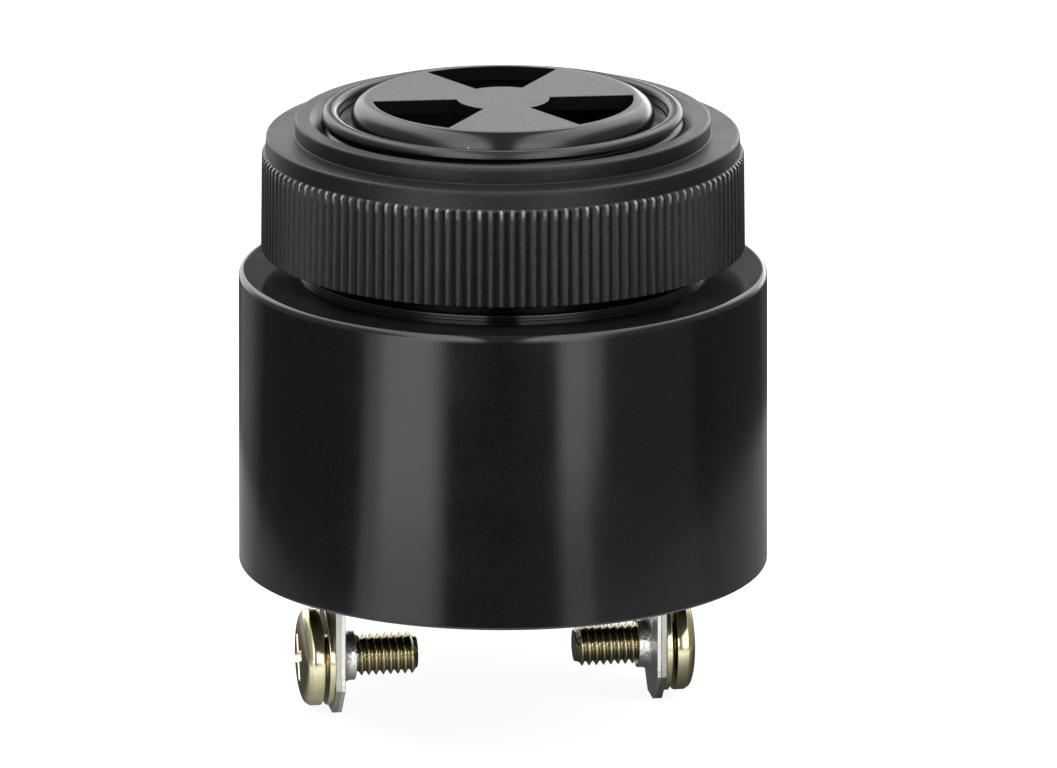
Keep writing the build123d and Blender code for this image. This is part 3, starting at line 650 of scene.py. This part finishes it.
# Painted sheen: the flat top's texture is coloured a lighter grey
colour = blend_colours(tree, times(tree, flat_top, texture["Mask"]), black, (0.095, 0.098, 0.090, 1.0))
colour = blend_colours(tree, times(tree, specks, 0.8), colour, dust_colour)
relief = total(tree, times(tree, texture["Height"], flat_top), times(tree, peel["Height"], 0.3))
set_shader(tree, shader, relief, 0.010, Base_Color=colour, Roughness=roughness, IOR=1.54)
settle(grille, "root", "gloss_black", grille_black, "front_grille")


# Terminals: tabs stamped from tin-plated steel, with clipped corners and a tapped boss. The plating is
# satin, with drawing lines along the strip and brighter sheared edges.
def softened(node, name, width):
    """A merged copy of a CAD node with its sharp edges rounded by that width in millimetres."""
    piece = bpy.data.objects.new(name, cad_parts[node].data.copy())
    bpy.context.scene.collection.objects.link(piece)
    for attribute in [a.name for a in piece.data.attributes if a.name == "custom_normal"]:
        piece.data.attributes.remove(piece.data.attributes[attribute])
    weld = piece.modifiers.new("merge", "WELD")
    weld.merge_threshold = 0.002 * MM
    bevel_edges = piece.modifiers.new("sheared edges", "BEVEL")
    bevel_edges.limit_method, bevel_edges.angle_limit = "ANGLE", math.radians(40.0)
    bevel_edges.width, bevel_edges.segments, bevel_edges.harden_normals = width * MM, 2, True
    return piece


tab_plate, tree, shader = new_finish("tab_plate")
where = put(tree, "TexCoord").outputs["Object"]
drawn = put(tree, "Mapping", {"Vector": where, "Scale": (5000.0, 5000.0, 260.0)}).outputs[0]
lines = put(tree, "TexNoise", {"Vector": drawn, "Scale": 1.0, "Detail": 3.0, "Roughness": 0.6}).outputs[0]
blotches = use(tree, grain, Size_mm=1.8, Contrast=3.0)["Mask"]
edge_mask = use(tree, edges, Radius_mm=0.08, From=0.03, To=0.3)["Mask"]
# The boss is all that is nearer the middle than the tab. It is dented and paler.
on_boss = rise(tree, math_of(tree, "ABSOLUTE", place_mm(tree)[0]), 13.15, 13.25, 1.0, 0.0)
dents = times(tree, use(tree, grain, Size_mm=1.3, Contrast=1.6)["Mask"], on_boss)
colour = blend_colours(tree, blotches, (0.42, 0.415, 0.37, 1.0), (0.53, 0.52, 0.48, 1.0))
colour = blend_colours(tree, on_boss, colour, (0.80, 0.78, 0.76, 1.0))
colour = blend_colours(tree, times(tree, edge_mask, 0.3), colour, (0.75, 0.74, 0.70, 1.0))
roughness = total(tree, times(tree, lines, 0.22), 0.20)
relief = total(tree, times(tree, lines, 0.05), dents)
set_shader(tree, shader, relief, 0.10, Base_Color=colour, Roughness=roughness, Metallic=1.0)
for side in ("left", "right"):
    tab = softened("terminal_" + side, "stamped_terminal_" + side, 0.07)
    settle(tab, "root", "tab_plate", tab_plate, "terminal_" + side)

# Terminal screws: M3.5 x 8 pan heads with a cross recess, in yellow-passivated zinc, each with a loose
# washer. They stand a little slack, so the washer hangs free between the head and the tab.
screw_y, screw_z, head_under = 4.5, -33.5, 14.52
head_radius, head_side, head_crown, crown_flat = 4.0, 1.0, 0.75, 1.2
screw_radius, screw_length, screw_pitch, screw_thread = 1.72, 8.0, 0.6, 0.34
recess_half_span, recess_half_width, recess_depth = 1.95, 0.425, 1.3

yellow_zinc, tree, shader = new_finish("yellow_zinc")
blotches = use(tree, grain, Size_mm=1.1, Contrast=3.2)["Mask"]
veils = use(tree, grain, Size_mm=2.6, Contrast=3.6)["Mask"]
pits = use(tree, grain, Size_mm=0.12, Contrast=2.0)
edge_mask = use(tree, edges, Radius_mm=0.06, From=0.04, To=0.4)["Mask"]
colour = blend_colours(tree, blotches, (0.88, 0.80, 0.52, 1.0), (0.66, 0.66, 0.36, 1.0))
colour = blend_colours(tree, times(tree, veils, 0.6), colour, (0.78, 0.60, 0.50, 1.0))
colour = blend_colours(tree, times(tree, edge_mask, 0.5), colour, (0.95, 0.92, 0.80, 1.0))
# Painted shade: the thread's roots are darkened, on the part of the shank that is past the tab
x, y, z = place_mm(tree)
off_screw = length_of(tree, total(tree, y, -screw_y), total(tree, z, -screw_z))
past_tab = rise(tree, math_of(tree, "ABSOLUTE", x), 13.4, 13.6, 1.0, 0.0)
painted_root_shade = times(tree, rise(tree, off_screw, 1.46, 1.70, 1.0, 0.0), past_tab)
colour = blend_colours(tree, times(tree, painted_root_shade, 0.6), colour, (0.05, 0.045, 0.03, 1.0))
roughness = rise(tree, pits["Mask"], 0.0, 1.0, 0.10, 0.22)
set_shader(tree, shader, pits["Height"], 0.004, Base_Color=colour, Roughness=roughness, Metallic=1.0)


def about_screw(side, radius, along, turn):
    """The point at that radius round a screw's axis, and that far outwards from its head's underside."""
    radius, along, turn = np.broadcast_arrays(radius, along, turn)
    place = [side * (head_under + along), screw_y + radius * np.cos(turn), screw_z + radius * np.sin(turn)]
    return np.stack(place, axis=-1).reshape(-1, 3)


screw_turns = np.arange(192) / 192 * 2 * math.pi
crown_share = np.linspace(0.0, 1.0, 32)[1:]
crown_radii = crown_flat + (head_radius - 0.12 - crown_flat) * crown_share
crown_heights = head_side + 0.08 + (head_crown - 0.08) * np.sqrt(np.clip(1 - crown_share**2.3, 0.0, 1.0))
flat_radii = np.linspace(0.0, crown_flat, 26)[1:]
shank_rows = np.linspace(-0.3, -screw_length + 0.42, 170)
screw_outline = np.concatenate([
    np.stack([flat_radii, np.full_like(flat_radii, head_side + head_crown)], axis=-1),
    np.stack([crown_radii, crown_heights], axis=-1),
    [
        (head_radius - 0.03, head_side - 0.02), (head_radius, head_side - 0.12), (head_radius, 0.16),
        (head_radius - 0.05, 0.05), (head_radius - 0.16, 0.0),
    ],
    [(screw_radius + 0.2, 0.0), (screw_radius + 0.06, -0.04), (screw_radius, -0.16)],
    np.stack([np.full_like(shank_rows, screw_radius), shank_rows], axis=-1),
    [
        (screw_radius, -screw_length + 0.4), (screw_radius - 0.4, -screw_length + 0.02),
        (screw_radius - 0.44, -screw_length),
    ],
])
for side_name, side in (("left", -1), ("right", 1)):
    r, along = screw_outline[:, :1], screw_outline[:, 1:]
    on_shank = (along < -0.1) & (r > screw_radius - 0.41)
    taper = fade(-along, 0.2, 0.8)
    depth = screw_thread * taper * tooth(along / screw_pitch - side * screw_turns / (2 * math.pi), 0.1, 0.18)
    radius = np.where(on_shank, np.maximum(r - depth, 1.2), r)
    turn = screw_turns - side * math.radians(20.0)
    p, q = np.abs(r * np.cos(turn)), np.abs(r * np.sin(turn))
    inside = np.maximum(
        np.minimum(recess_half_span - p, recess_half_width - q),
        np.minimum(recess_half_span - q, recess_half_width - p),
    )
    floor_depth = np.minimum(inside / math.tan(math.radians(10.0)), recess_depth - 0.25 * np.hypot(p, q))
    along = np.where(along > 0.9, np.minimum(along, head_side + head_crown - floor_depth), along)
    points = about_screw(side, radius, along, screw_turns)
    rows, columns = len(screw_outline), len(screw_turns)
    poles = about_screw(side, 0.0, np.array([head_side + head_crown - recess_depth, -screw_length]), 0.0)
    fans = np.concatenate([
        cap_faces(np.arange(columns)[::-1], rows * columns),
        cap_faces((rows - 1) * columns + np.arange(columns), rows * columns + 1),
    ])
    points = np.concatenate([points, poles])
    screw = new_piece("pan_head_screw_" + side_name, points, band_faces(rows, columns), fans, sharp=38.0)
    settle(screw, "root", "yellow_zinc", yellow_zinc, "terminal_screw_" + side_name)
    washer_outline = rounded([
        (1.9, -0.85, 0.06), (head_radius, -0.85, 0.09), (head_radius, -0.35, 0.09), (1.9, -0.35, 0.06),
    ], 4)
    points = about_screw(side, washer_outline[:, :1], washer_outline[:, 1:], screw_turns)
    washer_faces = band_faces(len(washer_outline), columns, wrap_rows=True)
    washer = new_piece("flat_washer_" + side_name, points, washer_faces)
    settle(washer, "root", "yellow_zinc", yellow_zinc, "terminal_washer_" + side_name)


# Base cover: a satin black moulded disc, pressed into the housing's rebate, with a slot and a guide for each
# terminal
def paint(finish, *nodes):
    """Gives CAD nodes that finish in place of their plain one."""
    for node in nodes:
        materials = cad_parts[node].data.materials
        materials.clear()
        materials.append(finish)


paint(satin_black, "base_cover")

# Disc and its mount: a rolled brass disc hangs by its edge from a soft silicone ring. The fired ceramic on
# its underside carries two silver electrodes.
soft_mount, tree, shader = new_finish("soft_mount")
skin = use(tree, grain, Size_mm=0.4, Contrast=2.0)
colour = blend_colours(tree, skin["Mask"], (0.70, 0.70, 0.66, 1.0), (0.80, 0.80, 0.77, 1.0))
set_shader(tree, shader, skin["Height"], 0.01, Base_Color=colour, Roughness=0.55)
set_shader(tree, shader, Subsurface_Weight=0.15, Subsurface_Scale=0.001)
paint(soft_mount, "diaphragm_mount")

disc_brass, tree, shader = new_finish("disc_brass")
where = put(tree, "TexCoord").outputs["Object"]
rolled = put(tree, "Mapping", {"Vector": where, "Scale": (9000.0, 300.0, 300.0)}).outputs[0]
lines = put(tree, "TexNoise", {"Vector": rolled, "Scale": 1.0, "Detail": 3.0}).outputs[0]
tarnish = use(tree, grain, Size_mm=3.0, Contrast=3.0)["Mask"]
colour = blend_colours(tree, tarnish, (0.80, 0.62, 0.30, 1.0), (0.66, 0.46, 0.22, 1.0))
roughness = total(tree, times(tree, lines, 0.2), 0.18)
set_shader(tree, shader, lines, 0.003, Base_Color=colour, Roughness=roughness, Metallic=1.0)
paint(disc_brass, "diaphragm")

ceramic, tree, shader = new_finish("ceramic")
sinter = use(tree, grain, Size_mm=0.15, Contrast=2.0)
colour = blend_colours(tree, sinter["Mask"], (0.72, 0.66, 0.52, 1.0), (0.82, 0.77, 0.64, 1.0))
set_shader(tree, shader, sinter["Height"], 0.006, Base_Color=colour, Roughness=0.6)
paint(ceramic, "piezo_ceramic")

silver, tree, shader = new_finish("silver")
mesh_print = use(tree, grain, Size_mm=0.25, Contrast=2.0)
tarnish = use(tree, grain, Size_mm=4.0, Contrast=3.0)["Mask"]
colour = blend_colours(tree, tarnish, (0.86, 0.86, 0.84, 1.0), (0.74, 0.70, 0.60, 1.0))
set_shader(tree, shader, mesh_print["Height"], 0.008, Base_Color=colour, Roughness=0.42, Metallic=1.0)
paint(silver, "drive_electrode", "feedback_electrode")

# Driver board: single-sided phenolic laminate with a drop of solder round every pin. It bears on the ends
# of the housing's posts and is held by the terminals' pins.
board, tree, shader = new_finish("board")
paper_fibre = use(tree, grain, Size_mm=0.5, Contrast=2.6)
colour = blend_colours(tree, paper_fibre["Mask"], (0.40, 0.26, 0.11, 1.0), (0.52, 0.36, 0.16, 1.0))
set_shader(tree, shader, paper_fibre["Height"], 0.01, Base_Color=colour, Roughness=0.45)
paint(board, "circuit_board")

solder, tree, shader = new_finish("solder")
frost = use(tree, grain, Size_mm=0.3, Contrast=2.6)
colour = blend_colours(tree, frost["Mask"], (0.66, 0.66, 0.67, 1.0), (0.80, 0.80, 0.80, 1.0))
roughness = rise(tree, frost["Mask"], 0.0, 1.0, 0.2, 0.4)
set_shader(tree, shader, frost["Height"], 0.01, Base_Color=colour, Roughness=roughness, Metallic=1.0)
paint(solder, "board_solder", "disc_solder")

# Step-up coil: a ferrite drum that stands on the board, wound with enamelled copper, five layers deep. The
# outer layer shows.
ferrite, tree, shader = new_finish("ferrite")
sinter = use(tree, grain, Size_mm=0.12, Contrast=2.2)
colour = blend_colours(tree, sinter["Mask"], (0.020, 0.020, 0.022, 1.0), (0.050, 0.048, 0.050, 1.0))
set_shader(tree, shader, sinter["Height"], 0.01, Base_Color=colour, Roughness=0.5)
paint(ferrite, "coil_core")

copper, tree, shader = new_finish("copper")
heat = use(tree, grain, Size_mm=1.5, Contrast=3.0)["Mask"]
colour = blend_colours(tree, heat, (0.60, 0.20, 0.07, 1.0), (0.72, 0.30, 0.12, 1.0))
set_shader(tree, shader, Base_Color=colour, Roughness=0.25, Metallic=1.0, Coat_Weight=0.6, Coat_Roughness=0.1)
winding_low, winding_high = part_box("coil_winding")
coil_x, coil_y = ((winding_low + winding_high) / 2 / MM)[:2]
wire_pitch, coil_radius, core_radius = 0.3, 3.7, 1.82
rows = np.linspace(winding_low.z / MM + 0.02, winding_high.z / MM - 0.02, 145)[:, None]
coil_turns = np.arange(96) / 96 * 2 * math.pi
phase = (rows / wire_pitch - coil_turns / (2 * math.pi)) % 1.0 - 0.5
roundness = 0.98 * np.sqrt(np.clip(1 - (2 * phase) ** 2, 0.0, 1.0))
turns_r = coil_radius - wire_pitch / 2 + wire_pitch / 2 * roundness
wound = about_z(turns_r, rows, coil_turns)
core_side = about_z(core_radius, rows[[-1, 0]], coil_turns)
points = np.concatenate([wound, core_side]) + (coil_x, coil_y, 0.0)
winding = new_piece("wound_copper", points, band_faces(len(rows) + 2, 96, wrap_rows=True), sharp=60.0)
settle(winding, "root", "copper", copper, "coil_winding")

# Capacitors and transistor: a sleeved can, a dipped disc and a moulded body, standing on bright wires that
# are soldered through the board
can_sleeve, tree, shader = new_finish("can_sleeve")
film = use(tree, grain, Size_mm=1.0, Contrast=1.6)
height = place_mm(tree)[2]
bare = math_of(tree, "MAXIMUM", rise(tree, height, -6.3, -6.25), rise(tree, height, -13.0, -12.95, 1.0, 0.0))
colour = blend_colours(tree, film["Mask"], (0.010, 0.016, 0.060, 1.0), (0.016, 0.024, 0.085, 1.0))
colour = blend_colours(tree, bare, colour, (0.75, 0.75, 0.76, 1.0))
set_shader(tree, shader, film["Height"], 0.01, Base_Color=colour, Roughness=0.3, Metallic=bare)
paint(can_sleeve, "electrolytic_capacitor")


def on_wires(name, first, second, relief_mm, rough, body_above):
    """A coated body on tinned wires: below that height, in millimetres, the node is bare wire."""
    finish, tree, shader = new_finish(name)
    coat = use(tree, grain, Size_mm=0.35, Contrast=2.0)
    wire = rise(tree, place_mm(tree)[2], body_above - 0.03, body_above, 1.0, 0.0)
    colour = blend_colours(tree, coat["Mask"], first, second)
    colour = blend_colours(tree, wire, colour, (0.76, 0.76, 0.76, 1.0))
    roughness = total(tree, times(tree, wire, 0.3 - rough), rough)
    set_shader(tree, shader, coat["Height"], relief_mm, Base_Color=colour, Roughness=roughness, Metallic=wire)
    return finish


disc_dip = on_wires("disc_dip", (0.62, 0.30, 0.07, 1.0), (0.72, 0.38, 0.11, 1.0), 0.02, 0.25, -12.4)
epoxy = on_wires("component_body", (0.014, 0.014, 0.015, 1.0), (0.026, 0.026, 0.027, 1.0), 0.012, 0.5, -11.8)
paint(disc_dip, "ceramic_capacitor")
paint(epoxy, "transistor")


# Resistors and diode: lacquered and moulded barrels on tinned wires, lying on the board. Each resistor has
# its own code of generic value bands, and the diode has a pale band at one end.
def barrel(name, centre_x, length, base, bands, rough):
    """A lacquered barrel along X on tinned wires, with coloured bands at those distances from its middle."""
    finish, tree, shader = new_finish(name)
    coat = use(tree, grain, Size_mm=0.5, Contrast=1.6)
    along = math_of(tree, "SUBTRACT", place_mm(tree)[0], centre_x)
    colour = blend_colours(tree, coat["Mask"], base, tuple(0.85 * value for value in base[:3]) + (1.0,))
    for at, band_colour in bands:
        colour = blend_colours(tree, between(tree, along, at - 0.28, at + 0.28, 0.03), colour, band_colour)
    wire = rise(tree, math_of(tree, "ABSOLUTE", along), length / 2 - 0.01, length / 2 + 0.01)
    colour = blend_colours(tree, wire, colour, (0.76, 0.76, 0.76, 1.0))
    roughness = total(tree, times(tree, wire, 0.3 - rough), rough)
    set_shader(tree, shader, coat["Height"], 0.01, Base_Color=colour, Roughness=roughness, Metallic=wire)
    return finish


brown, ink, red = (0.10, 0.03, 0.01, 1.0), (0.01, 0.01, 0.01, 1.0), (0.50, 0.02, 0.02, 1.0)
orange, violet, gold = (0.80, 0.20, 0.02, 1.0), (0.16, 0.05, 0.35, 1.0), (0.55, 0.38, 0.10, 1.0)
for number, code in enumerate(((brown, ink, orange), (red, red, brown), (violet, brown, red)), start=1):
    bands = list(zip((-1.9, -0.8, 0.3), code)) + [(1.9, gold)]
    lacquer = barrel(f"resistor_coat_{number}", -6.0, 6.0, (0.62, 0.48, 0.28, 1.0), bands, 0.3)
    paint(lacquer, f"resistor_{number}")
end_band = [(1.7, (0.70, 0.70, 0.70, 1.0))]
paint(barrel("diode_body", 7.0, 5.0, (0.020, 0.020, 0.021, 1.0), end_band, 0.4), "diode")

# Wires from the disc to the board: stranded copper in thin plastic sleeves, one colour each, soldered at
# both ends
for node, first, second in (
    ("lead_drive", (0.48, 0.02, 0.02, 1.0), (0.60, 0.04, 0.03, 1.0)),
    ("lead_feedback", (0.03, 0.07, 0.40, 1.0), (0.05, 0.11, 0.52, 1.0)),
    ("lead_ground", (0.012, 0.012, 0.012, 1.0), (0.022, 0.022, 0.022, 1.0)),
):
    finish, tree, shader = new_finish(node + "_sleeve")
    skin = use(tree, grain, Size_mm=0.6, Contrast=1.8)
    colour = blend_colours(tree, skin["Mask"], first, second)
    set_shader(tree, shader, skin["Height"], 0.01, Base_Color=colour, Roughness=0.35)
    paint(finish, node)
